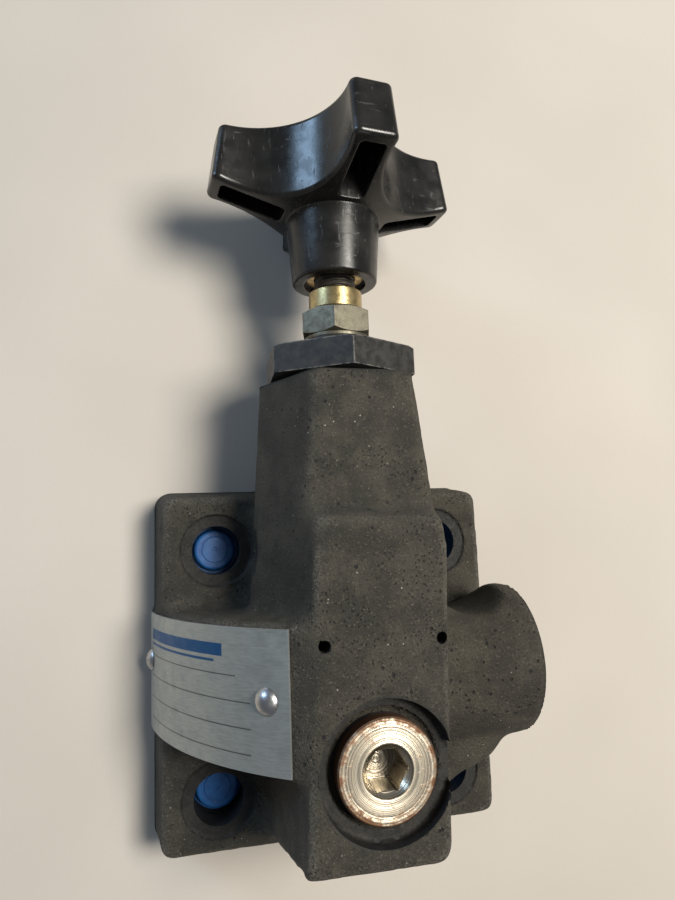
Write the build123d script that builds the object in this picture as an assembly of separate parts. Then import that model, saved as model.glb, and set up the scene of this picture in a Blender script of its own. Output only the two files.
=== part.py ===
from build123d import *
import math
import os

os.makedirs("parts", exist_ok=True)

# Frame: Z = 0 is the mounting face, +Z points away from it.
# The adjuster's axis runs along +Y at height AXIS_Z. Millimetres throughout.

# ---- body casting ----
FLANGE_HALF_X = 55.1
FLANGE_Y_LOW = -54.0
FLANGE_Y_HIGH = 55.8
FLANGE_T = 20.0
FLANGE_DRAFT_DEG = 7.1
BOLT_HALF_X = 36.0
BOLT_HALF_Y = 36.5
BOLT_HOLE_R = 7.5
BOLT_RELIEF_R = 7.9
BOLT_RELIEF_T = 9.7
ROOT_FILLET = 4.5
SPOTFACE_R = 11.2
AXIS_Z = 38.5
FRONT_Z = 70.0
TOWER_TOP_Y = 84.5
TOWER_FRONT_X = 1.2
BARREL_R = 91.7
BARREL_X = 35.7
BARREL_Z = -5.4
BARREL_Y_LOW = -18.4
BARREL_Y_HIGH = 19.4
BOSS_R = 22.0
BOSS_Y = 1.5
BOSS_END_X = 51.0
PLATE_HOLE_MID_X = 1.3
PLATE_HOLE_X = 15.15
PLATE_HOLE_Y = 13.6
PLATE_HOLE_R = 1.55

# ---- nameplate ----
NAMEPLATE_T = 0.6
NAMEPLATE_ANGLES = (38.8, 82.5)
NAMEPLATE_SCREWS = ((43.0, 0.4), (80.8, 3.6))
NAMEPLATE_Y = 0.5
NAMEPLATE_HALF_Y = 17.3

# ---- bores and ports ----
SPOOL_BORE_R = 11.0
SPOOL_BORE_LOW = -34.0
CAP_THREAD_R = 16.0
CAP_THREAD_LOW = 62.0
CAP_SEAL_R = 18.6
CAP_SEAL_Y = 82.6
FRONT_PORT_X = 1.0
FRONT_PORT_Y = -16.8
FRONT_PORT_R = 11.0
FRONT_SPOT_R = 17.2
FRONT_SPOT_Z = 65.5
SIDE_PORT_R = 13.0
SIDE_CHAMBER_R = 8.0
FACE_PORT_R = 6.35
FACE_PORT_TOP = 22.0
FACE_DRILL_R = 4.5
DRAIN_R = 3.0
DRAIN_TOP = 14.0
DRAIN_DRILL_R = 2.2
FACE_SEAL_R = 11.0
FACE_SEAL_T = 2.6
INLET_Y = 26.0
OUTLET_Y = -18.0
DRAIN_Y = 45.0

# ---- adjuster ----
CAP_AF = 41.3
CAP_TURN_DEG = -3.4
CAP_HEX_LOW = 86.0
CAP_HEX_TOP = 94.3
CAP_BOSS_R = 11.2
CAP_TOP = 98.5
NUT_AF = 19.8
NUT_T = 8.0
THREAD_R = 6.35
JOURNAL_R = 6.9
RUN_GAP = 0.05
COLLAR_R = 8.2
COLLAR_LOW = 107.9
COLLAR_TOP = 114.1

# ---- knob ----
KNOB_TOP_R = 36.0
KNOB_TOP_HALF_W = 6.4
KNOB_LOW_R = 40.7
KNOB_LOW_HALF_W = 7.6
KNOB_WAIST_R = 19.5
KNOB_LOW = 117.0
KNOB_TOP = 161.2
KNOB_TURN_DEG = 5.2

# ---- springs ----
COMP_SPRING_R = 6.6
COMP_WIRE_R = 1.0
CHECK_SPRING_R = 4.6
CHECK_WIRE_R = 0.6


def save(shape, name):
    shape.label = name
    export_step(shape, f"parts/{name}.step")


def along_y(radius, y_low, y_high, x=0.0, z=AXIS_Z):
    """A round bar parallel to Y."""
    plane = Plane(origin=(x, y_low, z), x_dir=(1, 0, 0), z_dir=(0, 1, 0))
    return extrude(plane * Circle(radius), y_high - y_low)


def along_x(radius, x_low, x_high, y=BOSS_Y, z=AXIS_Z):
    """A round bar parallel to X."""
    plane = Plane(origin=(x_low, y, z), x_dir=(0, 1, 0), z_dir=(1, 0, 0))
    return extrude(plane * Circle(radius), x_high - x_low)


def along_z(radius, z_low, z_high, x=0.0, y=0.0):
    """A round bar parallel to Z."""
    return extrude(Plane(origin=(x, y, z_low)) * Circle(radius), z_high - z_low)


def cone_y(r_low, r_high, y_low, y_high):
    """A round taper on the adjuster's axis."""
    low = Plane(origin=(0, y_low, AXIS_Z), x_dir=(1, 0, 0), z_dir=(0, 1, 0))
    high = Plane(origin=(0, y_high, AXIS_Z), x_dir=(1, 0, 0), z_dir=(0, 1, 0))
    return loft([low * Circle(r_low), high * Circle(r_high)])


def block(x_low, x_high, y_low, y_high, z_low, z_high):
    size = (x_high - x_low, y_high - y_low, z_high - z_low)
    centre = ((x_low + x_high) / 2, (y_low + y_high) / 2, (z_low + z_high) / 2)
    return Pos(*centre) * Box(*size)


def ring_y(mean_r, wire_r, y, z=AXIS_Z):
    """An O-ring around an axis parallel to Y."""
    plane = Plane(origin=(0, y, z), x_dir=(1, 0, 0), z_dir=(0, 1, 0))
    return plane.location * Torus(mean_r, wire_r)


def hex_bar_y(across_flats, y_low, y_high, turn_deg):
    """A hexagonal bar on the adjuster's axis."""
    corner_r = across_flats / math.sqrt(3)
    plane = Plane(origin=(0, y_low, AXIS_Z), x_dir=(0, 0, 1), z_dir=(0, 1, 0))
    outline = plane * Rot(0, 0, turn_deg) * RegularPolygon(corner_r, 6)
    return extrude(outline, y_high - y_low)


# ---------------------------------------------------------------- casting


def flange():
    """The mounting flange: a thick plate with rounded corners and drafted sides."""
    width_y = FLANGE_Y_HIGH - FLANGE_Y_LOW
    outline = Pos(0, (FLANGE_Y_HIGH + FLANGE_Y_LOW) / 2) * RectangleRounded(2 * FLANGE_HALF_X, width_y, 5.5)
    plate = extrude(outline, FLANGE_T, taper=FLANGE_DRAFT_DEG)
    rim = plate.faces().sort_by(Axis.Z)[-1].edges()
    return fillet(rim, 1.8)


def front_block():
    """The central block, whose side walls lean in towards the front face."""
    base = [(-26, 50), (26, 50), (22, -51.2), (-22.5, -51.2)]
    front = [(-15.2, 45.8), (20.2, 45.4), (16.6, -39.6), (-19.8, -38.8)]
    low = Plane(origin=(0, 0, 8)) * make_face(Polyline(*base, close=True))
    high = Plane(origin=(0, 0, FRONT_Z)) * make_face(Polyline(*front, close=True))
    solid = loft([low, high], ruled=True)
    corners = solid.edges().filter_by(lambda e: e.bounding_box().size.Z > 50)
    solid = fillet(corners.filter_by(lambda e: e.center().X > 0), 4.0)
    rim = solid.faces().sort_by(Axis.Z)[-1].edges()
    return fillet(rim, 2.2)


def tower_section(y, front_z, front_half, side_half):
    """Flat front, leaning sides and a half-round back, at one height along the adjuster."""
    plane = Plane(origin=(0, y, 0), x_dir=(1, 0, 0), z_dir=(0, -1, 0))
    front_left = (TOWER_FRONT_X - front_half, front_z)
    front_right = (TOWER_FRONT_X + front_half, front_z)
    front = Line(front_right, front_left)
    left = Line(front_left, (-side_half, AXIS_Z))
    back = ThreePointArc((-side_half, AXIS_Z), (0, AXIS_Z - side_half), (side_half, AXIS_Z))
    right = Line((side_half, AXIS_Z), front_right)
    return plane * make_face(front + left + back + right)


def tower():
    """The tapered tower around the adjuster's thread."""
    root = tower_section(19, 65.4, 17.0, 28)
    low = tower_section(40, 65.0, 18.2, 26.8)
    high = tower_section(TOWER_TOP_Y, 62.2, 13.7, 24)
    solid = loft([low, high], ruled=True)
    corners = solid.edges().filter_by(lambda e: e.length > 40 and e.center().Z > 60)
    return fillet(corners, 3.0) + loft([root, low], ruled=True)


def plate_barrel():
    """The rounded side of the casting that carries the nameplate."""
    start_x = -18.5
    start_z = BARREL_Z + math.sqrt(BARREL_R**2 - (start_x - BARREL_X) ** 2)
    mid = math.radians(60)
    plane = Plane(origin=(0, BARREL_Y_HIGH, 0), x_dir=(1, 0, 0), z_dir=(0, -1, 0))
    left_x = BARREL_X - math.sqrt(BARREL_R**2 - BARREL_Z**2)
    mid_point = (BARREL_X - BARREL_R * math.sin(mid), BARREL_Z + BARREL_R * math.cos(mid))
    arc = ThreePointArc((start_x, start_z), mid_point, (left_x, 0))
    rest = Polyline((left_x, 0), (10, 0), (10, start_z), (start_x, start_z))
    solid = extrude(plane * make_face(arc + rest), BARREL_Y_HIGH - BARREL_Y_LOW)
    ends = solid.faces().filter_by(GeomType.CYLINDER).edges().filter_by(GeomType.CIRCLE)
    return fillet(ends, 2.5)


def rooted_core():
    """Flange, block and barrel, with the cast radius where they meet."""
    core = flange() + front_block() + plate_barrel()
    roots = []
    for edge in core.edges():
        middle = edge @ 0.5
        on_end = min(abs(middle.Y - BARREL_Y_HIGH), abs(middle.Y - BARREL_Y_LOW)) < 0.05
        at_foot = abs(middle.Z - FLANGE_T) < 0.05
        upper_corner = middle.Y > 0 and -24 < middle.X < -16
        barrel_root = on_end and edge.length > 15 and (at_foot or upper_corner)
        block_root = at_foot and edge.length > 15 and -27 < middle.X < -18
        if barrel_root or block_root:
            roots.append(edge)
    return fillet(roots, ROOT_FILLET)


def side_boss():
    """The round boss on the right, its flared root, the web under it, and the wrench pocket above."""
    boss = along_x(BOSS_R, 5, BOSS_END_X)
    boss = fillet(boss.edges().sort_by(Axis.X)[-1], 1.2)
    flare_r = 7.0
    root_x = 17.5
    side = Plane(origin=(0, BOSS_Y, AXIS_Z), x_dir=(1, 0, 0), z_dir=(0, 0, 1))
    outer = (root_x, BOSS_R + flare_r)
    inner = (root_x + flare_r, BOSS_R)
    flare = Polyline(inner, (inner[0], 0), (5, 0), (5, outer[1]), outer)
    curve = RadiusArc(outer, inner, -flare_r)
    boss = boss + revolve(side * make_face(flare + curve), Axis((0, BOSS_Y, AXIS_Z), (1, 0, 0)))
    web_right = [(36, -27.4), (41, -25), (46, -19), (46, -5), (15, -5)]
    web_left = [(15, -33.5), (25, -32), (28.4, -30.4), (30.5, -28.6)]
    web = extrude(Plane(origin=(0, 0, 15)) * make_face(Polyline(*web_left, *web_right, close=True)), 34)
    top = web.faces().sort_by(Axis.Z)[-1].edges()
    web = chamfer(top.filter_by(lambda e: e.center().Y < -15 and e.center().X > 20), 4.0)
    pocket = along_z(12.5, FLANGE_T, FRONT_Z, 35, 28.5)
    return boss + web - pocket


def front_seal_groove():
    """The ring cut in the front spotface for the plug's seal."""
    ring = along_z(14.4, 63.2, FRONT_Z, FRONT_PORT_X, FRONT_PORT_Y)
    return ring - along_z(FRONT_PORT_R, 63, 71, FRONT_PORT_X, FRONT_PORT_Y)


def body_cavities():
    """Every bore, port, spotface and bolt hole that is machined in the casting."""
    tools = [
        along_y(SPOOL_BORE_R, SPOOL_BORE_LOW, 65),
        along_y(CAP_THREAD_R, CAP_THREAD_LOW, TOWER_TOP_Y + 1),
        along_y(CAP_SEAL_R, CAP_SEAL_Y, TOWER_TOP_Y + 1),
        along_z(FRONT_SPOT_R, FRONT_SPOT_Z, FRONT_Z + 1, FRONT_PORT_X, FRONT_PORT_Y),
        along_z(FRONT_PORT_R, 51, FRONT_Z, FRONT_PORT_X, FRONT_PORT_Y),
        front_seal_groove(),
        along_z(5.5, AXIS_Z, 52, FRONT_PORT_X, FRONT_PORT_Y),
        along_x(SIDE_PORT_R, 30, BOSS_END_X + 1),
        along_x(SIDE_CHAMBER_R, 16, 31),
        along_x(5.0, 5, 17),
        along_z(FACE_PORT_R, -1, FACE_PORT_TOP, y=INLET_Y),
        along_z(FACE_PORT_R, -1, FACE_PORT_TOP, y=OUTLET_Y),
        along_z(FACE_DRILL_R, 20, 32, y=INLET_Y),
        along_z(FACE_DRILL_R, 20, 32, y=OUTLET_Y),
        along_z(DRAIN_R, -1, DRAIN_TOP, y=DRAIN_Y),
        along_z(DRAIN_DRILL_R, 12, 32, y=DRAIN_Y),
        along_z(FACE_SEAL_R, -1, FACE_SEAL_T, y=INLET_Y),
        along_z(FACE_SEAL_R, -1, FACE_SEAL_T, y=OUTLET_Y),
        along_z(5.6, -1, 1.8, y=DRAIN_Y),
    ]
    for sx in (-1, 1):
        hole_x = PLATE_HOLE_MID_X + sx * PLATE_HOLE_X
        tools.append(along_z(PLATE_HOLE_R, 62, FRONT_Z + 1, hole_x, PLATE_HOLE_Y))
        for sy in (-1, 1):
            x = sx * BOLT_HALF_X
            y = sy * BOLT_HALF_Y
            tools.append(along_z(BOLT_HOLE_R, -1, FLANGE_T + 1, x, y))
            tools.append(along_z(BOLT_RELIEF_R, -1, BOLT_RELIEF_T, x, y))
            tools.append(along_z(SPOTFACE_R, FLANGE_T - 0.6, 40, x, y))
    return tools


def valve_body():
    solid = rooted_core() + tower() + side_boss()
    for tool in body_cavities():
        solid = solid - tool
    for angle, y in NAMEPLATE_SCREWS:
        solid = solid - on_barrel(angle, y) * Cylinder(1.5, 14)
    return solid


# ---------------------------------------------------------------- nameplate


def on_barrel(angle_deg, y):
    """A place on the barrel's surface, with its local Z pointing straight out."""
    a = math.radians(angle_deg)
    x = BARREL_X - BARREL_R * math.sin(a)
    z = BARREL_Z + BARREL_R * math.cos(a)
    outward = (-math.sin(a), 0, math.cos(a))
    return Plane(origin=(x, y, z), x_dir=(0, 1, 0), z_dir=outward).location


def nameplate():
    """Thin plate bent to the barrel, with a hole for each drive screw."""
    corner = (BARREL_X, NAMEPLATE_Y + NAMEPLATE_HALF_Y, BARREL_Z)
    plane = Plane(origin=corner, x_dir=(1, 0, 0), z_dir=(0, -1, 0))
    inner = BARREL_R + 0.02
    outer = inner + NAMEPLATE_T
    first, last = NAMEPLATE_ANGLES
    points = []
    for radius in (inner, outer):
        for angle in (first, (first + last) / 2, last):
            a = math.radians(angle)
            points.append((-radius * math.sin(a), radius * math.cos(a)))
    inner_arc = ThreePointArc(points[0], points[1], points[2])
    outer_arc = ThreePointArc(points[5], points[4], points[3])
    outline = inner_arc + Line(points[2], points[5]) + outer_arc + Line(points[3], points[0])
    solid = extrude(plane * make_face(outline), 2 * NAMEPLATE_HALF_Y)
    for angle, y in NAMEPLATE_SCREWS:
        solid = solid - on_barrel(angle, y) * Cylinder(1.6, 6)
    return solid


def drive_screws():
    """Two round-headed drive screws, one at each end of the plate."""
    screws = []
    for angle, y in NAMEPLATE_SCREWS:
        head = Pos(0, 0, -1.67) * Sphere(4.17) & Pos(0, 0, 1.66) * Box(10, 10, 1.98)
        shank = Pos(0, 0, -2.2) * Cylinder(1.45, 5.8)
        screws.append(on_barrel(angle, y) * (head + shank))
    return Compound(children=screws)


# ---------------------------------------------------------------- plugs and seals


def front_port_plug():
    """Hollow-hex port plug under a turned round head."""
    head_top = 69.3
    head = along_z(12.7, FRONT_SPOT_Z, head_top, FRONT_PORT_X, FRONT_PORT_Y)
    head = chamfer(head.edges().sort_by(Axis.Z)[-1], 0.5)
    thread = along_z(FRONT_PORT_R - RUN_GAP, 54, FRONT_SPOT_Z, FRONT_PORT_X, FRONT_PORT_Y)
    neck = along_z(FRONT_PORT_R, 63.0, FRONT_SPOT_Z, FRONT_PORT_X, FRONT_PORT_Y)
    neck = neck - along_z(10.0, 62, 67, FRONT_PORT_X, FRONT_PORT_Y)
    socket_floor = Plane(origin=(FRONT_PORT_X, FRONT_PORT_Y, 59))
    socket = extrude(socket_floor * RegularPolygon(9.53 / math.sqrt(3), 6), 12)
    lead_in = Pos(FRONT_PORT_X, FRONT_PORT_Y, head_top - 0.9) * Cone(4.6, 6.4, 1.8)
    return head + thread - neck - socket - lead_in


def front_plug_o_ring():
    ring = Torus(11.55, 1.15)
    return Pos(FRONT_PORT_X, FRONT_PORT_Y, 64.35) * ring


def side_plug():
    """Flush hollow-hex plug that closes the check valve's chamber."""
    solid = along_x(SIDE_PORT_R - RUN_GAP, 33, BOSS_END_X - 1)
    groove = along_x(14, 35, 38) - along_x(10.9, 34, 39)
    plane = Plane(origin=(42, BOSS_Y, AXIS_Z), x_dir=(0, 1, 0), z_dir=(1, 0, 0))
    socket = extrude(plane * RegularPolygon(12.7 / math.sqrt(3), 6), 12)
    pocket = along_x(5.6, 32, 38.5)
    return solid - groove - socket - pocket


def side_plug_o_ring():
    plane = Plane(origin=(36.5, BOSS_Y, AXIS_Z), x_dir=(0, 1, 0), z_dir=(1, 0, 0))
    return plane.location * Torus(11.93, 1.0)


def face_o_rings():
    """The three seals in the mounting face."""
    large = [Pos(0, y, 1.3) * Torus(9.6, 1.28) for y in (INLET_Y, OUTLET_Y)]
    small = Pos(0, DRAIN_Y, 0.9) * Torus(4.6, 0.88)
    return Compound(children=large + [small])


def shipping_plugs():
    """Four soft caps pushed into the bolt holes from the mounting face."""
    plugs = []
    for sx in (-1, 1):
        for sy in (-1, 1):
            cup = along_z(BOLT_RELIEF_R - 0.05, 0.4, 5.4) + along_z(6.5, 5.4, 9.2)
            cup = fillet(cup.edges().sort_by(Axis.Z)[-1], 0.9)
            cup = cup - along_z(5.2, 0, 7.6)
            cup = cup - (along_z(4.35, 8.9, 9.5) - along_z(4.0, 8.8, 9.6))
            cup = cup - along_z(0.7, 8.7, 9.5)
            plugs.append(Pos(sx * BOLT_HALF_X, sy * BOLT_HALF_Y) * cup)
    return Compound(children=plugs)


# ---------------------------------------------------------------- cap and lock nut


def hex_cap():
    """Screwed-in bonnet: threaded shank, hex, and a low round boss for the lock nut."""
    shank = along_y(CAP_THREAD_R - RUN_GAP, CAP_THREAD_LOW + 0.5, CAP_HEX_LOW)
    neck = along_y(CAP_THREAD_R, 81.5, CAP_HEX_LOW) - along_y(14.9, 81, CAP_HEX_LOW)
    hexagon = hex_bar_y(CAP_AF, CAP_HEX_LOW, CAP_HEX_TOP, CAP_TURN_DEG)
    bevel = cone_y(CAP_AF / 2 + 3.4, CAP_AF / 2 + 2.2, CAP_HEX_TOP - 0.7, CAP_HEX_TOP)
    keep = along_y(CAP_AF, CAP_HEX_LOW, CAP_HEX_TOP - 0.7) + bevel
    boss = along_y(CAP_BOSS_R, CAP_HEX_TOP, CAP_TOP)
    boss = fillet(boss.edges().sort_by(Axis.Y)[-1], 1.2)
    solid = shank - neck + (hexagon & keep) + boss
    solid = solid - along_y(JOURNAL_R + RUN_GAP, CAP_THREAD_LOW, 83)
    solid = solid - along_y(THREAD_R + RUN_GAP, 82, CAP_TOP + 1)
    solid = solid - along_y(9.3, 70.4, 75.0)
    return solid - along_y(8.0, CAP_THREAD_LOW, 67)


def cap_o_ring():
    return ring_y(16.75, 1.7, 84.3)


def spindle_o_ring():
    return ring_y(8.12, 1.15, 71.7)


def backup_ring():
    return along_y(9.25, 73.1, 74.7) - along_y(JOURNAL_R + RUN_GAP, 73, 75)


def nut_washer():
    ring = along_y(9.9, CAP_TOP + 0.02, CAP_TOP + 1.0)
    return ring - along_y(THREAD_R + 0.1, CAP_TOP, CAP_TOP + 2)


def jam_nut():
    """Thin hex nut, bevelled on both faces."""
    low = CAP_TOP + 1.02
    high = low + NUT_T
    hexagon = hex_bar_y(NUT_AF, low, high, -16)
    half = NUT_AF / 2
    top = cone_y(half + 2.1, half - 0.3, high - 1.3, high)
    bottom = cone_y(half - 0.3, half + 2.1, low, low + 1.3)
    keep = top + bottom + along_y(NUT_AF, low + 1.3, high - 1.3)
    return (hexagon & keep) - along_y(THREAD_R + RUN_GAP, low - 1, high + 1)


# ---------------------------------------------------------------- adjusting spindle and knob


def adjusting_spindle():
    """Threaded spindle: button end, sealing journal, thread, and the end held in the knob."""
    button = along_y(4.0, 54.2, 57.2)
    neck = along_y(2.6, 57.2, 60.2)
    journal = along_y(JOURNAL_R, 60.2, 76)
    thread = along_y(THREAD_R, 76, 138)
    thread = chamfer(thread.edges().sort_by(Axis.Y)[-1], 0.8)
    return button + neck + journal + thread


def stop_collar():
    """Round collar on the spindle; it meets the lock nut when the valve is shut."""
    ring = along_y(COLLAR_R, COLLAR_LOW, COLLAR_TOP) - along_y(THREAD_R + 0.02, 100, 120)
    rims = ring.edges().filter_by(GeomType.CIRCLE).filter_by(lambda e: e.radius > 8)
    return chamfer(rims, 0.4)


def knob_insert():
    """Metal bush moulded into the knob's hub."""
    bush = along_y(8.6, 118.5, 138) - along_y(THREAD_R + 0.02, 117, 140)
    for y in (124, 131):
        bush = bush - (along_y(9, y, y + 1.5) - along_y(8.0, y - 1, y + 3))
    return bush


def knob_outline(plane, reach, half_w):
    """Four lobes with flat ends, joined by concave arcs."""
    parts = []
    for quarter in range(4):
        turn = Rot(0, 0, 90 * quarter)
        waist = KNOB_WAIST_R / math.sqrt(2)
        end = Line((reach, -half_w), (reach, half_w))
        side = ThreePointArc((reach, half_w), (waist, waist), (half_w, reach))
        parts.append(turn * end)
        parts.append(turn * side)
    return plane * make_face(Curve() + parts)


def hand_knob():
    """Four-lobed grip on a tapered hub, hollowed from below."""
    turn = math.radians(KNOB_TURN_DEG)
    plane = Plane(origin=(0, 130, AXIS_Z), x_dir=(math.cos(turn), 0, -math.sin(turn)), z_dir=(0, 1, 0))
    upper = plane.offset(KNOB_TOP - 130)
    low_outline = knob_outline(plane, KNOB_LOW_R, KNOB_LOW_HALF_W)
    top_outline = knob_outline(upper, KNOB_TOP_R, KNOB_TOP_HALF_W)
    lobes = loft([low_outline, top_outline], ruled=True)
    lobes = fillet(lobes.edges().filter_by(lambda e: e.bounding_box().size.Y > 30), 2.2)
    side = Plane(origin=(0, 0, AXIS_Z), x_dir=(1, 0, 0), z_dir=(0, 0, 1))
    profile = [(0, 133), (45, 145.5), (45, KNOB_TOP), (0, KNOB_TOP)]
    envelope = revolve(side * make_face(Polyline(*profile, close=True)), Axis((0, 0, AXIS_Z), (0, 1, 0)))
    grip = lobes & envelope
    rims = grip.edges().filter_by(lambda e: e.bounding_box().size.Y < 19)
    grip = fillet(rims, 1.4)
    hub = cone_y(13.1, 14.9, KNOB_LOW, 140)
    hub = fillet(hub.edges().sort_by(Axis.Y)[0], 0.8)
    solid = grip + hub
    for quarter in range(4):
        pocket = Pos(26.0, 0, 0) * Rectangle(20.0, 8.8)
        tool = extrude(plane * Rot(0, 0, 90 * quarter) * pocket, 25, taper=2)
        tool = fillet(tool.edges().filter_by(lambda e: e.length > 20), 1.5)
        solid = solid - tool
    solid = solid - along_y(8.62, KNOB_LOW + 1.5, 138.02)
    return solid - along_y(9.6, KNOB_LOW - 1, KNOB_LOW + 1.5)


# ---------------------------------------------------------------- inside the bore


def throttle_spool():
    """Sliding throttle with a side slot that holds the spindle's button."""
    solid = along_y(6.95, 22, 60)
    slot = block(-4.3, 8, 54.0, 57.4, AXIS_Z - 4.3, AXIS_Z + 4.3)
    lip = block(-3.0, 8, 57.4, 61, AXIS_Z - 3.0, AXIS_Z + 3.0)
    waist = along_y(8, 34, 42) - along_y(4.6, 33, 43)
    bleed = along_y(1.2, 21, 54.5)
    solid = solid - slot - lip - waist - bleed
    for angle in (0, 120, 240):
        notch = Rot(0, angle, 0) * Pos(0, 22, 7.6) * Rot(0, 0, 45) * Box(5, 5, 5)
        solid = solid - Pos(0, 0, AXIS_Z) * notch
    return solid


def orifice_sleeve():
    """Fixed sleeve with a ring of metering holes."""
    solid = along_y(SPOOL_BORE_R - 0.05, 12, 61.8) - along_y(7.0, 11, 62)
    waist = along_y(12, 22, 31) - along_y(9.6, 21, 32)
    solid = solid - waist
    for angle in range(0, 360, 60):
        hole = Rot(0, angle, 0) * Pos(0, 26.5, 8) * Cylinder(1.8, 10)
        solid = solid - Pos(0, 0, AXIS_Z) * hole
    return solid


def compensator_spool():
    """Cup-shaped pressure-balancing spool with a small orifice in its head."""
    solid = along_y(SPOOL_BORE_R - RUN_GAP, -9, 11.9) - along_y(8.4, -10, 8)
    solid = solid - along_y(1.5, 7, 13)
    groove = along_y(12, 2, 5) - along_y(9.9, 1, 6)
    return solid - groove


def spring_seat():
    """Disc at the bottom of the bore, with a post that centres the spring."""
    disc = along_y(SPOOL_BORE_R - 0.05, -33.9, -31.5)
    return disc + along_y(4.8, -31.5, -27)


def coil(mean_r, wire_r, length, turns, place):
    """A closed-end look-alike coil of round wire, starting at local Z = 0."""
    pitch = (length - 2 * wire_r) / turns
    path = Helix(pitch, length - 2 * wire_r, mean_r)
    start = Plane(origin=path @ 0, z_dir=path % 0)
    wire = sweep(start * Circle(wire_r), path=path)
    return place * Pos(0, 0, wire_r) * wire


def compensator_spring():
    place = Plane(origin=(0, -31.4, AXIS_Z), x_dir=(1, 0, 0), z_dir=(0, 1, 0)).location
    return coil(COMP_SPRING_R, COMP_WIRE_R, 39.2, 8, place)


def check_poppet():
    """Cone-nosed cup that closes on the edge of the cross hole."""
    body = along_x(SIDE_CHAMBER_R - RUN_GAP, 19, 28)
    nose_low = Plane(origin=(16.05, BOSS_Y, AXIS_Z), x_dir=(0, 1, 0), z_dir=(1, 0, 0))
    nose_high = Plane(origin=(19, BOSS_Y, AXIS_Z), x_dir=(0, 1, 0), z_dir=(1, 0, 0))
    nose = loft([nose_low * Circle(5.0), nose_high * Circle(SIDE_CHAMBER_R - RUN_GAP)])
    tip_low = Plane(origin=(14.5, BOSS_Y, AXIS_Z), x_dir=(0, 1, 0), z_dir=(1, 0, 0))
    tip = loft([tip_low * Circle(3.2), nose_low * Circle(4.9)])
    return body + nose + tip - along_x(5.6, 21, 29)


def check_spring():
    place = Plane(origin=(21.05, BOSS_Y, AXIS_Z), x_dir=(0, 1, 0), z_dir=(1, 0, 0)).location
    return coil(CHECK_SPRING_R, CHECK_WIRE_R, 17.3, 6, place)


save(valve_body(), "valve_body")
save(nameplate(), "nameplate")
save(drive_screws(), "drive_screws")
save(front_port_plug(), "front_port_plug")
save(front_plug_o_ring(), "front_plug_o_ring")
save(side_plug(), "side_plug")
save(side_plug_o_ring(), "side_plug_o_ring")
save(face_o_rings(), "face_o_rings")
save(shipping_plugs(), "shipping_plugs")
save(hex_cap(), "hex_cap")
save(cap_o_ring(), "cap_o_ring")
save(spindle_o_ring(), "spindle_o_ring")
save(backup_ring(), "backup_ring")
save(nut_washer(), "nut_washer")
save(jam_nut(), "jam_nut")
save(adjusting_spindle(), "adjusting_spindle")
save(stop_collar(), "stop_collar")
save(knob_insert(), "knob_insert")
save(hand_knob(), "hand_knob")
save(throttle_spool(), "throttle_spool")
save(orifice_sleeve(), "orifice_sleeve")
save(compensator_spool(), "compensator_spool")
save(compensator_spring(), "compensator_spring")
save(spring_seat(), "spring_seat")
save(check_poppet(), "check_poppet")
save(check_spring(), "check_spring")
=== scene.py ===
import math

import bpy
import numpy as np
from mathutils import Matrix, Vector, noise
from mathutils.bvhtree import BVHTree


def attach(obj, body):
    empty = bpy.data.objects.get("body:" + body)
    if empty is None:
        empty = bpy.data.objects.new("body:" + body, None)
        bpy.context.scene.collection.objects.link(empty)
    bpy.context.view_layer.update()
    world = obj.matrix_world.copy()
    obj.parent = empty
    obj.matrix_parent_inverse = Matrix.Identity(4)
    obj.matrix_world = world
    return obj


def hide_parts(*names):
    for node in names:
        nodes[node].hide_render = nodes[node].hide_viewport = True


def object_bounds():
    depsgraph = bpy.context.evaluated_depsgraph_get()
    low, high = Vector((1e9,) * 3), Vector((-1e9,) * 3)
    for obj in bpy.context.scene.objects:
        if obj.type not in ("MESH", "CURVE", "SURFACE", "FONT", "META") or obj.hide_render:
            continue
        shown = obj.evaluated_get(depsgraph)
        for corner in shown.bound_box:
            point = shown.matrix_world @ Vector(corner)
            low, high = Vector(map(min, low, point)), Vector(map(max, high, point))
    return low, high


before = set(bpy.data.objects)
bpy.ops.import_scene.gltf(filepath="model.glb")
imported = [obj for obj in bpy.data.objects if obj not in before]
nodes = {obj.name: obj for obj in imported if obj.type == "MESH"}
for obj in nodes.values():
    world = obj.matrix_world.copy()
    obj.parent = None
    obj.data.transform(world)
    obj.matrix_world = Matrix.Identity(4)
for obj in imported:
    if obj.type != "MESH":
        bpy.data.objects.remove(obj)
cad_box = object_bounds()

MM = 0.001

# Places shared with the CAD, in millimetres.
AXIS_Z = 38.5
PITCH = 1.27
THREAD_R = 6.35
FRONT_PORT = (1.0, -16.8)
FRONT_SPOT_R = 17.2
FRONT_SPOT_Z = 65.5
FRONT_Z = 70.0
BARREL = (35.7, -5.4)
FLANGE_T = 20.0
SPOTFACE_R = 11.2
SPOTFACE_T = 0.6
BOLT_HOLE_R = 7.5
BOLTS = [(sx * 36.0, sy * 36.5) for sx in (-1, 1) for sy in (-1, 1)]
SMALL_HOLE_R = 1.55
SMALL_HOLES = [(1.3 - 15.15, 13.6), (1.3 + 15.15, 13.6)]

# The casting is remade from cubes of this size before it is softened.
VOXEL = 0.7
SMOOTHING_TURNS = 60

# The spindle's thread runs between these heights.
THREAD_LOW = 77.0
THREAD_HIGH = 137.2
THREAD_DEPTH = 0.72


# ---------------------------------------------------------------- materials


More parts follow.
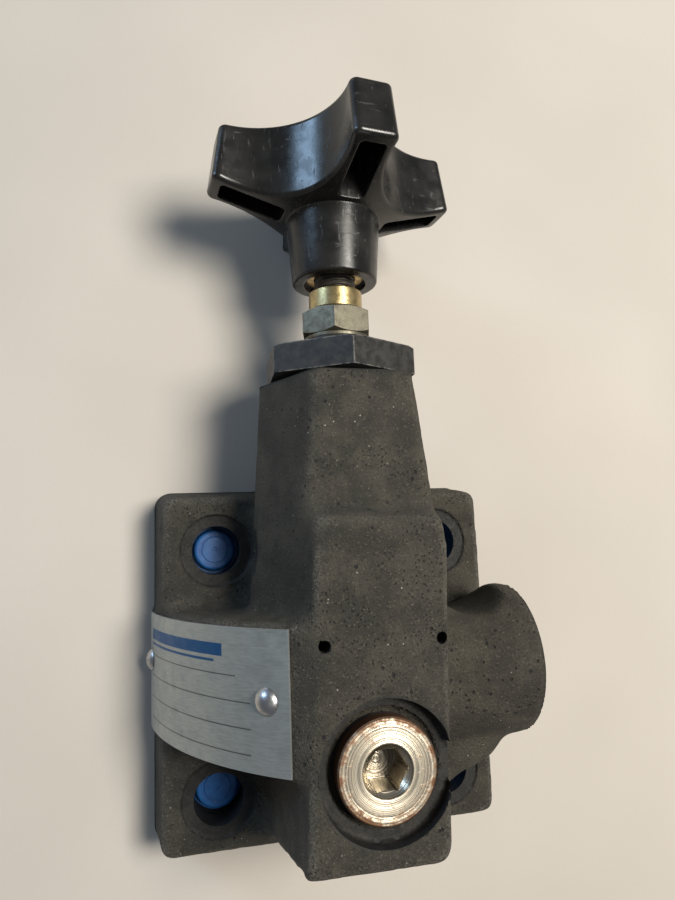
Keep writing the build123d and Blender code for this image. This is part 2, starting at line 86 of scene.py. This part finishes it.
class Surface:
    """A Principled material and the small network of nodes that feeds it."""

    def __init__(self, name, roughness=0.5, metallic=0.0, specular=0.5):
        self.material = bpy.data.materials.new(name)
        self.material.use_nodes = True
        self.tree = self.material.node_tree
        self.tree.nodes.clear()
        self.out = self.add("ShaderNodeOutputMaterial")
        self.shader = self.add("ShaderNodeBsdfPrincipled")
        self.tree.links.new(self.shader.outputs[0], self.out.inputs[0])
        self.shader.inputs["Roughness"].default_value = roughness
        self.shader.inputs["Metallic"].default_value = metallic
        self.shader.inputs["Specular IOR Level"].default_value = specular
        self.where = self.add("ShaderNodeTexCoord").outputs["Object"]

    def add(self, kind, **settings):
        node = self.tree.nodes.new(kind)
        for key, value in settings.items():
            setattr(node, key, value)
        return node

    def feed(self, socket, value):
        if isinstance(value, bpy.types.NodeSocket):
            self.tree.links.new(value, socket)
        elif isinstance(value, tuple) and len(value) == 3 and socket.type == "RGBA":
            socket.default_value = (*value, 1.0)
        else:
            socket.default_value = value

    def math(self, operation, a, b=0.0, clamp=False):
        node = self.add("ShaderNodeMath", operation=operation, use_clamp=clamp)
        self.feed(node.inputs[0], a)
        self.feed(node.inputs[1], b)
        return node.outputs[0]

    def ranged(self, value, low, high, to_low=0.0, to_high=1.0):
        node = self.add("ShaderNodeMapRange", interpolation_type="SMOOTHSTEP")
        self.feed(node.inputs["Value"], value)
        node.inputs["From Min"].default_value = low
        node.inputs["From Max"].default_value = high
        node.inputs["To Min"].default_value = to_low
        node.inputs["To Max"].default_value = to_high
        return node.outputs["Result"]

    def mix(self, factor, a, b):
        node = self.add("ShaderNodeMix", data_type="RGBA")
        self.feed(node.inputs["Factor"], factor)
        self.feed(node.inputs[6], a)
        self.feed(node.inputs[7], b)
        return node.outputs[2]

    def stretched(self, x, y, z, turn=(0.0, 0.0, 0.0)):
        node = self.add("ShaderNodeMapping")
        self.feed(node.inputs["Vector"], self.where)
        node.inputs["Rotation"].default_value = turn
        node.inputs["Scale"].default_value = (x, y, z)
        return node.outputs["Vector"]

    def grain(self, size_mm, detail=3.0, roughness=0.55, where=None, distortion=0.0):
        """Noise whose features are about size_mm across."""
        node = self.add("ShaderNodeTexNoise")
        self.feed(node.inputs["Vector"], where if where is not None else self.where)
        node.inputs["Scale"].default_value = 1.0 / (size_mm * MM)
        node.inputs["Detail"].default_value = detail
        node.inputs["Roughness"].default_value = roughness
        node.inputs["Distortion"].default_value = distortion
        return node.outputs["Fac"]

    def cells(self, size_mm, randomness=1.0):
        """Distance from scattered points about size_mm apart."""
        node = self.add("ShaderNodeTexVoronoi")
        self.feed(node.inputs["Vector"], self.where)
        node.inputs["Scale"].default_value = 1.0 / (size_mm * MM)
        node.inputs["Randomness"].default_value = randomness
        return node.outputs["Distance"]

    def axis_parts(self):
        node = self.add("ShaderNodeSeparateXYZ")
        self.feed(node.inputs[0], self.where)
        return node.outputs

    def radius(self, u, v, centre_u, centre_v):
        """Distance from a line, in millimetres, from two coordinates in metres."""
        du = self.math("SUBTRACT", u, centre_u * MM)
        dv = self.math("SUBTRACT", v, centre_v * MM)
        square = self.math("ADD", self.math("MULTIPLY", du, du), self.math("MULTIPLY", dv, dv))
        return self.math("MULTIPLY", self.math("SQRT", square), 1000.0)

    def along(self, value, spacing):
        """A vector that only changes with value, for noise in rings or stripes."""
        node = self.add("ShaderNodeCombineXYZ")
        self.feed(node.inputs[0], self.math("MULTIPLY", value, MM / spacing))
        return node.outputs[0]

    def edge(self, radius_mm, low=0.02, high=0.25):
        """1 near sharp edges, 0 on open faces."""
        bevel = self.add("ShaderNodeBevel", samples=6)
        bevel.inputs["Radius"].default_value = radius_mm * MM
        dot = self.add("ShaderNodeVectorMath", operation="DOT_PRODUCT")
        self.feed(dot.inputs[0], bevel.outputs[0])
        self.feed(dot.inputs[1], self.add("ShaderNodeNewGeometry").outputs["Normal"])
        return self.ranged(self.math("SUBTRACT", 1.0, dot.outputs["Value"]), low, high)

    def soft_edges(self, radius_mm):
        bevel = self.add("ShaderNodeBevel", samples=6)
        bevel.inputs["Radius"].default_value = radius_mm * MM
        return bevel.outputs[0]

    def bump(self, height, depth_mm, strength=1.0, under=None):
        node = self.add("ShaderNodeBump")
        node.inputs["Strength"].default_value = strength
        node.inputs["Distance"].default_value = depth_mm * MM
        self.feed(node.inputs["Height"], height)
        if under is not None:
            self.feed(node.inputs["Normal"], under)
        return node.outputs[0]

    def finish(self, colour, roughness=None, normal=None):
        self.feed(self.shader.inputs["Base Color"], colour)
        if roughness is not None:
            self.feed(self.shader.inputs["Roughness"], roughness)
        if normal is not None:
            self.feed(self.shader.inputs["Normal"], normal)
        return self.material


def casting_material():
    """Black-treated sand casting, with dust in its pits, paler worn edges, and painted shade that darkens
    the pits and the hollows of the sand grain.
    """
    s = Surface("sand_casting", 0.75, 0.0, 0.4)
    machined = s.add("ShaderNodeAttribute", attribute_name="machined").outputs["Fac"]
    worn = s.add("ShaderNodeAttribute", attribute_name="worn").outputs["Fac"]
    broad = s.grain(9.0, 5.0, 0.62)
    sand = s.grain(0.62, 5.0, 0.68)
    fine = s.grain(0.26, 2.0, 0.6)
    colour = s.mix(s.ranged(broad, 0.36, 0.66), (0.026, 0.0235, 0.0175), (0.052, 0.046, 0.034))
    colour = s.mix(s.ranged(sand, 0.55, 0.76), colour, (0.150, 0.134, 0.102))
    # Darkest where the sand grain is lowest: painted shade in the hollows of the grain bump.
    colour = s.mix(s.ranged(sand, 0.46, 0.30), colour, (0.007, 0.0065, 0.0055))
    dust = s.math("MULTIPLY", s.ranged(s.cells(2.7), 0.10, 0.04), s.ranged(s.grain(15.0), 0.46, 0.60))
    colour = s.mix(dust, colour, (0.36, 0.33, 0.27))
    pocked = s.ranged(s.grain(19.0, 2.0), 0.46, 0.58)
    pits = s.math("MULTIPLY", s.ranged(s.cells(1.15), 0.27, 0.16), pocked)
    sparse = s.ranged(s.grain(23.0, 2.0), 0.44, 0.56)
    large = s.math("MULTIPLY", s.ranged(s.cells(3.4), 0.17, 0.10), sparse)
    pits = s.math("MAXIMUM", pits, large)
    # Pits painted near-black: painted shade inside the pits, on top of their bump.
    colour = s.mix(s.math("MULTIPLY", pits, 0.85), colour, (0.006, 0.0055, 0.005))
    rubbed = s.math("MULTIPLY", s.ranged(worn, 0.35, 1.0), s.ranged(sand, 0.38, 0.62))
    colour = s.mix(s.math("MULTIPLY", rubbed, 0.45), colour, (0.15, 0.14, 0.12))
    cut = s.mix(s.ranged(s.grain(3.0, 4.0), 0.35, 0.7), (0.008, 0.0075, 0.0065), (0.018, 0.016, 0.013))
    colour = s.mix(machined, colour, cut)
    roughness = s.ranged(sand, 0.3, 0.7, 0.62, 0.86)
    height = s.math("ADD", s.math("MULTIPLY", sand, 0.8), s.math("MULTIPLY", fine, 0.25))
    height = s.math("SUBTRACT", height, s.math("MULTIPLY", pits, 0.6))
    height = s.math("MULTIPLY", height, s.math("SUBTRACT", 1.0, s.math("MULTIPLY", machined, 0.85)))
    return s.finish(colour, roughness, s.bump(height, 0.80, 1.0))


def knob_material():
    """Moulded black plastic, glossy on the crowns and scuffed along the edges."""
    s = Surface("knob_plastic_black", 0.35, 0.0, 0.42)
    edge = s.edge(1.6, 0.03, 0.35)
    scuffs = s.grain(1.1, 3.0, 0.6, s.stretched(1.0, 0.16, 1.0, (0.3, 0.5, 0.9)))
    cross = s.grain(1.3, 3.0, 0.6, s.stretched(0.14, 1.0, 1.0, (0.8, 0.2, 0.4)))
    scratch = s.math("MAXIMUM", s.ranged(scuffs, 0.63, 0.72), s.ranged(cross, 0.64, 0.73))
    dust = s.math("MULTIPLY", s.ranged(s.cells(4.2), 0.06, 0.02), s.ranged(s.grain(15.0), 0.48, 0.6))
    colour = s.mix(s.ranged(s.grain(9.0), 0.35, 0.7), (0.0060, 0.0058, 0.0056), (0.0150, 0.0142, 0.0130))
    colour = s.mix(s.math("MULTIPLY", scratch, 0.55), colour, (0.055, 0.055, 0.055))
    colour = s.mix(s.math("MULTIPLY", edge, 0.22), colour, (0.05, 0.05, 0.05))
    colour = s.mix(dust, colour, (0.22, 0.20, 0.17))
    gloss = s.ranged(s.grain(6.0, 3.0), 0.3, 0.7, 0.20, 0.33)
    rough = s.math("ADD", gloss, s.math("MULTIPLY", scratch, 0.22))
    peel = s.bump(s.grain(2.6, 2.0), 0.05, 0.6, s.soft_edges(0.5))
    return s.finish(colour, rough, s.bump(s.math("SUBTRACT", 1.0, scratch), 0.012, 0.6, peel))


def worn_metal(name, base, deep, bare, roughness, metallic, edge_mm=0.7, dirt=0.5, rust=None):
    """Plated or blackened steel: mottled finish, handling dirt and bright edges."""
    s = Surface(name, roughness, metallic, 0.5)
    mottle = s.grain(2.4, 5.0, 0.65)
    fine = s.grain(0.5, 3.0, 0.6)
    colour = s.mix(s.ranged(mottle, 0.35, 0.68), base, deep)
    spots = s.math("MULTIPLY", s.ranged(fine, 0.55, 0.72), dirt)
    colour = s.mix(spots, colour, tuple(0.3 * c for c in deep))
    edge = s.math("MULTIPLY", s.edge(edge_mm), s.ranged(mottle, 0.33, 0.60))
    colour = s.mix(edge, colour, bare)
    if rust:
        patch = s.math("MULTIPLY", s.ranged(s.grain(4.0, 5.0, 0.7), 0.60, 0.68), rust)
        colour = s.mix(patch, colour, (0.17, 0.065, 0.022))
    rough = s.ranged(mottle, 0.3, 0.7, roughness - 0.08, roughness + 0.14)
    height = s.math("ADD", mottle, s.math("MULTIPLY", fine, 0.4))
    return s.finish(colour, rough, s.bump(height, 0.05, 0.6, s.soft_edges(0.35)))


def turned_material():
    """Turned plug head: fine rings left by the tool, rust creeping in from the rim."""
    s = Surface("turned_steel", 0.34, 1.0)
    x, y, z = s.axis_parts()
    r = s.radius(x, y, *FRONT_PORT)
    wobble = s.math("MULTIPLY", s.grain(9.0, 1.0), 0.5)
    rings = s.grain(1.0, 3.0, 0.75, s.along(s.math("ADD", r, wobble), 0.62))
    wide = s.grain(1.0, 2.0, 0.5, s.along(r, 2.4))
    blot = s.grain(2.2, 5.0, 0.65)
    colour = s.mix(s.ranged(rings, 0.40, 0.60), (0.30, 0.255, 0.19), (0.78, 0.70, 0.56))
    colour = s.mix(s.ranged(blot, 0.56, 0.80), colour, (0.36, 0.30, 0.23))
    rim = s.math("ADD", r, s.math("MULTIPLY", s.math("SUBTRACT", blot, 0.5), 9.0))
    outer = s.ranged(rim, 10.2, 12.8)
    side = s.ranged(r, 12.45, 12.6)
    stain = s.ranged(s.grain(3.4, 4.0, 0.7), 0.58, 0.68)
    rust = s.math("MAXIMUM", s.math("MULTIPLY", outer, 0.85), s.math("MULTIPLY", stain, 0.55))
    rust = s.math("MAXIMUM", rust, s.math("MULTIPLY", side, 0.9))
    brown = s.mix(s.grain(0.6, 3.0), (0.055, 0.020, 0.010), (0.22, 0.085, 0.030))
    colour = s.mix(rust, colour, brown)
    # Darker below 68.2 mm height, fading in from there: painted shade on the parts of the plug that sit
    # deep in its recess.
    socket = s.ranged(s.math("MULTIPLY", z, 1000.0), 68.2, 64.0)
    colour = s.mix(s.math("MULTIPLY", socket, 0.45), colour, (0.05, 0.046, 0.042))
    rough = s.math("ADD", s.ranged(wide, 0.3, 0.7, 0.24, 0.42), s.math("MULTIPLY", rust, 0.35))
    fine = s.bump(rings, 0.16, 1.0, s.soft_edges(0.3))
    return s.finish(colour, rough, s.bump(rust, 0.05, 0.5, fine))


def plate_material():
    """Brushed aluminium data plate: one printed block and ruled lines, no lettering."""
    s = Surface("brushed_plate", 0.42, 0.75)
    x, y, z = s.axis_parts()
    du = s.math("SUBTRACT", BARREL[0] * MM, x)
    dz = s.math("SUBTRACT", z, BARREL[1] * MM)
    angle = s.math("MULTIPLY", s.math("ARCTAN2", du, dz), 180.0 / math.pi)
    y_mm = s.math("MULTIPLY", y, 1000.0)
    brushed = s.grain(0.35, 3.0, 0.6, s.stretched(0.10, 1.0, 0.10))
    blot = s.grain(5.0, 5.0, 0.65)
    colour = s.mix(s.ranged(brushed, 0.25, 0.75), (0.31, 0.335, 0.325), (0.40, 0.425, 0.415))
    colour = s.mix(s.math("MULTIPLY", s.ranged(blot, 0.50, 0.75), 0.35), colour, (0.24, 0.24, 0.235))

    def box(a_low, a_high, y_low, y_high):
        above_a = s.ranged(angle, a_low - 0.15, a_low + 0.15)
        below_a = s.ranged(angle, a_high + 0.15, a_high - 0.15)
        above_y = s.ranged(y_mm, y_low - 0.12, y_low + 0.12)
        below_y = s.ranged(y_mm, y_high + 0.12, y_high - 0.12)
        inside_a = s.math("MULTIPLY", above_a, below_a)
        return s.math("MULTIPLY", inside_a, s.math("MULTIPLY", above_y, below_y))

    worn_print = s.ranged(s.grain(0.9, 4.0, 0.7), 0.24, 0.36)
    block = s.math("MAXIMUM", box(52, 80, 10.2, 13.4), box(54, 80, 8.6, 9.3))
    colour = s.mix(s.math("MULTIPLY", block, worn_print), colour, (0.012, 0.085, 0.23))
    lines = box(49, 80, 5.6, 5.9)
    for low in (-0.6, -6.8, -12.9):
        lines = s.math("MAXIMUM", lines, box(46, 80, low, low + 0.3))
    colour = s.mix(s.math("MULTIPLY", lines, 0.8), colour, (0.03, 0.03, 0.03))
    edge = s.edge(0.5, 0.05, 0.4)
    colour = s.mix(s.math("MULTIPLY", edge, 0.6), colour, (0.62, 0.62, 0.62))
    rough = s.ranged(blot, 0.3, 0.7, 0.34, 0.52)
    height = s.math("ADD", brushed, s.math("MULTIPLY", s.grain(7.0, 1.0), 3.0))
    return s.finish(colour, rough, s.bump(height, 0.03, 0.7))


def moulded(name, base, deep, roughness, peel_mm=0.03):
    """Soft moulded part, evenly coloured with a little bloom and texture."""
    s = Surface(name, roughness, 0.0, 0.45)
    bloom = s.grain(3.5, 4.0, 0.6)
    colour = s.mix(s.ranged(bloom, 0.35, 0.7), base, deep)
    rough = s.ranged(bloom, 0.3, 0.7, roughness - 0.08, roughness + 0.12)
    return s.finish(colour, rough, s.bump(s.grain(0.9, 3.0), peel_mm, 0.6, s.soft_edges(0.25)))


def floor_material():
    """Pale matt paper with a faint tooth."""
    s = Surface("pale_floor", 0.9, 0.0, 0.2)
    tone = s.grain(120.0, 2.0)
    colour = s.mix(s.ranged(tone, 0.3, 0.7), (0.455, 0.420, 0.375), (0.495, 0.458, 0.412))
    tooth = s.grain(1.6, 4.0, 0.7)
    colour = s.mix(s.math("MULTIPLY", s.ranged(tooth, 0.45, 0.75), 0.10), colour, (0.40, 0.37, 0.33))
    return s.finish(colour, None, s.bump(tooth, 0.10, 0.35))


# ---------------------------------------------------------------- body casting


def near(p, centre, limit):
    return np.hypot(p[:, 0] - centre[0], p[:, 1] - centre[1]) < limit


def machined_places(p):
    """Which points, in millimetres, lie on cut faces rather than on the rough casting."""
    x, y, z = p.T
    from_axis = np.hypot(x, z - AXIS_Z)
    from_cross = np.hypot(y - 1.5, z - AXIS_Z)
    cut = z < 0.4
    cut |= y > 84.1
    cut |= (np.abs(x) < 12.0) & (y > -31.0) & (y < 51.0) & (z < 24.0)
    cut |= (from_axis < 16.6) & (y > -36.0)
    cut |= (from_axis < 18.9) & (y > 82.0)
    cut |= (from_cross < 22.6) & (x > 50.6)
    cut |= (from_cross < 13.4) & (x > 10.0)
    cut |= near(p, FRONT_PORT, 11.8) & (z > 30.0)
    cut |= near(p, FRONT_PORT, 17.5) & (z > 65.1)
    for bolt in BOLTS:
        cut |= near(p, bolt, 11.35) & (z < 40.3)
    for hole in SMALL_HOLES:
        cut |= near(p, hole, 1.8) & (z > 55.0)
    return cut


def on_rim(p, centre, radius, level):
    """Moves the points beside a round edge, in a plane of constant Z, exactly onto it."""
    dx = p[:, 0] - centre[0]
    dy = p[:, 1] - centre[1]
    r = np.maximum(np.hypot(dx, dy), 1e-6)
    close = np.hypot(r - radius, p[:, 2] - level) < 0.62 * VOXEL
    p[close, 0] = centre[0] + dx[close] * radius / r[close]
    p[close, 1] = centre[1] + dy[close] * radius / r[close]
    p[close, 2] = level
    return close


def evaluated_mesh(obj):
    bpy.context.view_layer.update()
    graph = bpy.context.evaluated_depsgraph_get()
    return bpy.data.meshes.new_from_object(obj.evaluated_get(graph))


def coordinates(mesh):
    flat = np.empty(len(mesh.vertices) * 3, np.float64)
    mesh.vertices.foreach_get("co", flat)
    return flat.reshape(-1, 3)


def neighbour_mean(values, edges, count):
    total = np.zeros_like(values)
    np.add.at(total, edges[:, 0], values[edges[:, 1]])
    np.add.at(total, edges[:, 1], values[edges[:, 0]])
    return total / count[:, None]


def rough_casting():
    """The casting with soft sand-cast corners and skin, its cut faces left where the CAD has them."""
    source = nodes["valve_body"]
    work = bpy.data.objects.new("casting_work", source.data.copy())
    bpy.context.scene.collection.objects.link(work)
    remesh = work.modifiers.new("voxels", "REMESH")
    remesh.mode = "VOXEL"
    remesh.voxel_size = VOXEL * MM
    mesh = evaluated_mesh(work)
    bpy.data.objects.remove(work)

    p = coordinates(mesh) / MM
    edges = np.empty(len(mesh.edges) * 2, np.int64)
    mesh.edges.foreach_get("vertices", edges)
    edges = edges.reshape(-1, 2)
    count = np.maximum(np.bincount(edges.ravel(), minlength=len(p)), 1).astype(float)
    cut = machined_places(p)
    free = np.where(cut, 0.0, 1.0)[:, None]

    x, y, z = p.T
    step = (np.abs(y - 46.0) < 9.0) & (z > 54.0)
    roots = (np.abs(x) > 14.0) & (z > 19.0) & (z < 66.0) & (x < 46.0) & (y < 50.0)
    tower = (y > 40.0) & (y < 80.0)
    wanted = np.where(step, 60, np.where(roots, 40, np.where(tower, 34, 18)))
    for turn in range(SMOOTHING_TURNS):
        pull = neighbour_mean(p, edges, count) - p
        share = np.where(turn < wanted, 0.5, 0.0)[:, None]
        p += share * free * pull

    tree = BVHTree.FromObject(source, bpy.context.evaluated_depsgraph_get())
    for i in np.nonzero(cut)[0]:
        found = tree.find_nearest(Vector(p[i] * MM))
        p[i] = np.array(found[0]) / MM

    rims = on_rim(p, FRONT_PORT, FRONT_SPOT_R, FRONT_Z)
    rims |= on_rim(p, FRONT_PORT, FRONT_SPOT_R, FRONT_SPOT_Z)
    for hole in SMALL_HOLES:
        rims |= on_rim(p, hole, SMALL_HOLE_R, FRONT_Z)
    for bolt in BOLTS:
        rims |= on_rim(p, bolt, SPOTFACE_R, FLANGE_T)
        rims |= on_rim(p, bolt, BOLT_HOLE_R, FLANGE_T - SPOTFACE_T)
    free[rims] = 0.0

    mesh.vertices.foreach_set("co", (p * MM).ravel())
    mesh.update()
    normals = np.empty(len(p) * 3, np.float64)
    mesh.vertices.foreach_get("normal", normals)
    normals = normals.reshape(-1, 3)
    bulge = np.sum((p - neighbour_mean(p, edges, count)) * normals, axis=1)
    for _ in range(3):
        bulge = neighbour_mean(bulge[:, None], edges, count)[:, 0]
    beside_cut = 1.0 - free
    for _ in range(4):
        beside_cut = np.maximum(beside_cut, neighbour_mean(beside_cut, edges, count))
    worn = np.clip(bulge / 0.03, 0.0, 1.0) * np.clip(1.0 - 2.0 * beside_cut[:, 0], 0.0, 1.0)

    skin = np.empty(len(p))
    for i, point in enumerate(p):
        v = Vector(point)
        skin[i] = 0.16 * noise.noise(v / 9.0) + 0.10 * noise.noise(v / 3.1) + 0.07 * noise.noise(v / 1.5)
    skin = np.minimum(skin - 0.10, 0.0)
    p += (free[:, 0] * skin)[:, None] * normals

    low = np.array(cad_box[0]) / MM
    high = np.array(cad_box[1]) / MM
    p = np.clip(p, low, high)
    mesh.vertices.foreach_set("co", (p * MM).ravel())
    for name, values in (("machined", cut.astype(float)), ("worn", worn)):
        layer = mesh.attributes.new(name, "FLOAT", "POINT")
        layer.data.foreach_set("value", values)
    mesh.materials.clear()
    mesh.materials.append(casting_material())
    mesh.polygons.foreach_set("use_smooth", np.ones(len(mesh.polygons), bool))
    mesh.set_sharp_from_angle(angle=math.radians(42))
    mesh.update()
    piece = bpy.data.objects.new("body_casting", mesh)
    bpy.context.scene.collection.objects.link(piece)
    return piece


# ---------------------------------------------------------------- threaded spindle


def spindle_profile():
    """(y, radius, threaded) down the spindle, in millimetres."""
    rows = [(54.2, 0.0, 0), (54.2, 3.6, 0), (54.5, 4.0, 0), (57.2, 4.0, 0), (57.2, 2.6, 0)]
    rows += [(60.2, 2.6, 0), (60.2, 6.6, 0), (60.5, 6.9, 0), (75.7, 6.9, 0), (76.0, 6.35, 0)]
    length = THREAD_HIGH - THREAD_LOW
    steps = int(length / (PITCH / 10))
    for k in range(steps + 1):
        rows.append((THREAD_LOW + k * length / steps, THREAD_R, 1))
    rows += [(138.0, 5.5, 0), (138.0, 0.0, 0)]
    return rows


def threaded_spindle():
    """The spindle turned from its profile, with a real right-hand thread cut in it."""
    sides = 56
    vertices = []
    rows = spindle_profile()
    for y, radius, threaded in rows:
        for k in range(sides):
            t = 2 * math.pi * k / sides
            r = radius
            if threaded:
                phase = (y / PITCH - k / sides) % 1.0
                groove = max(0.0, 1.0 - abs(phase - 0.5) / 0.42)
                r = radius - THREAD_DEPTH * groove
            vertices.append((r * math.sin(t) * MM, y * MM, (AXIS_Z + r * math.cos(t)) * MM))
    faces = []
    for i in range(len(rows) - 1):
        for k in range(sides):
            a = i * sides + k
            b = i * sides + (k + 1) % sides
            faces.append((a, b, b + sides, a + sides))
    mesh = bpy.data.meshes.new("spindle_thread")
    mesh.from_pydata(vertices, [], faces)
    mesh.validate()
    mesh.polygons.foreach_set("use_smooth", np.ones(len(mesh.polygons), bool))
    mesh.set_sharp_from_angle(angle=math.radians(35))
    piece = bpy.data.objects.new("spindle_thread", mesh)
    bpy.context.scene.collection.objects.link(piece)
    return piece


# ---------------------------------------------------------------- assembly of looks

# Each metal: main colour, second colour, colour of bare edges, then roughness and the rest.
black_steel = worn_metal(
    "black_oxide_steel", (0.020, 0.0195, 0.019), (0.038, 0.036, 0.034), (0.26, 0.25, 0.23), 0.50, 0.35, 0.9
)
zinc = worn_metal(
    "zinc_plate", (0.17, 0.155, 0.115), (0.11, 0.10, 0.075), (0.40, 0.37, 0.30), 0.42, 0.8, 0.5, 0.5, 1.0
)
yellow = worn_metal(
    "yellow_zinc", (0.55, 0.43, 0.20), (0.40, 0.30, 0.16), (0.72, 0.62, 0.40), 0.30, 0.95, 0.4, 0.25
)
thread_steel = worn_metal(
    "thread_steel", (0.050, 0.045, 0.040), (0.10, 0.09, 0.078), (0.24, 0.22, 0.19), 0.46, 0.8, 0.15
)
screw_metal = worn_metal(
    "screw_steel", (0.52, 0.52, 0.53), (0.36, 0.36, 0.37), (0.70, 0.70, 0.70), 0.30, 1.0, 0.4, 0.3
)
ground_steel = worn_metal(
    "ground_steel", (0.50, 0.49, 0.47), (0.36, 0.35, 0.34), (0.65, 0.64, 0.62), 0.26, 1.0, 0.3, 0.2
)
spring_steel = worn_metal(
    "spring_steel", (0.16, 0.15, 0.14), (0.10, 0.095, 0.09), (0.35, 0.34, 0.32), 0.36, 0.9, 0.2, 0.3
)
brass = worn_metal(
    "bush_brass", (0.55, 0.40, 0.18), (0.40, 0.27, 0.12), (0.70, 0.55, 0.28), 0.34, 1.0, 0.3, 0.3
)
rubber = moulded("seal_rubber_black", (0.016, 0.016, 0.017), (0.028, 0.027, 0.026), 0.55)
white_seal = moulded("seal_white", (0.62, 0.60, 0.55), (0.48, 0.46, 0.42), 0.45)
blue_cap = moulded("cap_blue_plastic", (0.022, 0.15, 0.46), (0.014, 0.10, 0.34), 0.38, 0.05)

looks = {
    "nameplate": plate_material(),
    "drive_screws": screw_metal,
    "front_port_plug": turned_material(),
    "front_plug_o_ring": rubber,
    "side_plug": black_steel,
    "side_plug_o_ring": rubber,
    "face_o_rings": rubber,
    "shipping_plugs": blue_cap,
    "hex_cap": black_steel,
    "cap_o_ring": rubber,
    "spindle_o_ring": rubber,
    "backup_ring": white_seal,
    "nut_washer": zinc,
    "jam_nut": zinc,
    "stop_collar": yellow,
    "knob_insert": brass,
    "hand_knob": knob_material(),
    "throttle_spool": ground_steel,
    "orifice_sleeve": ground_steel,
    "compensator_spool": ground_steel,
    "compensator_spring": spring_steel,
    "spring_seat": ground_steel,
    "check_poppet": ground_steel,
    "check_spring": spring_steel,
}
for name, material in looks.items():
    for holder in nodes[name].material_slots:
        holder.material = material

casting = rough_casting()
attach(casting, "valve")
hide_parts("valve_body")

spindle = threaded_spindle()
spindle.data.materials.append(thread_steel)
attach(spindle, "adjuster")
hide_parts("adjusting_spindle")


# ---------------------------------------------------------------- floor, light and camera


def pale_floor():
    size = 3.0
    steps = 24
    vertices = []
    for j in range(steps + 1):
        for i in range(steps + 1):
            vertices.append((size * (i / steps - 0.5), size * (j / steps - 0.5), -0.0004))
    faces = []
    for j in range(steps):
        for i in range(steps):
            a = j * (steps + 1) + i
            faces.append((a, a + 1, a + steps + 2, a + steps + 1))
    mesh = bpy.data.meshes.new("floor")
    mesh.from_pydata(vertices, [], faces)
    mesh.materials.append(floor_material())
    obj = bpy.data.objects.new("floor", mesh)
    bpy.context.scene.collection.objects.link(obj)


def area_light(name, place, target, size, power, colour, shine=1.0):
    light = bpy.data.lights.new(name, "AREA")
    light.shape = "RECTANGLE"
    light.size = size[0]
    light.size_y = size[1]
    light.energy = power
    light.color = colour
    light.specular_factor = shine
    obj = bpy.data.objects.new(name, light)
    obj.location = place
    obj.rotation_euler = (Vector(target) - Vector(place)).to_track_quat("-Z", "Y").to_euler()
    bpy.context.scene.collection.objects.link(obj)


pale_floor()
area_light("key", (0.30, 0.16, 0.80), (0.0, 0.04, 0.03), (0.34, 0.30), 11.0, (1.0, 0.955, 0.87))
area_light("window", (-0.85, 0.66, 0.30), (0.0, 0.08, 0.04), (0.22, 0.45), 4.6, (0.46, 0.70, 1.0), 0.2)

world = bpy.data.worlds.new("soft_room")
world.use_nodes = True
world.node_tree.nodes["Background"].inputs["Color"].default_value = (0.80, 0.86, 0.95, 1.0)
world.node_tree.nodes["Background"].inputs["Strength"].default_value = 0.19
bpy.context.scene.world = world
bpy.context.scene.view_settings.view_transform = "Standard"

camera = bpy.data.cameras.new("camera")
camera.lens = 25.99
camera.sensor_width = 36.0
camera.clip_start = 0.01
camera_object = bpy.data.objects.new("camera", camera)
camera_object.location = (-0.048979, 0.040975, 0.226553)
camera_object.rotation_euler = (0.1338, -0.2454, -0.0364)
bpy.context.scene.collection.objects.link(camera_object)
bpy.context.scene.camera = camera_object
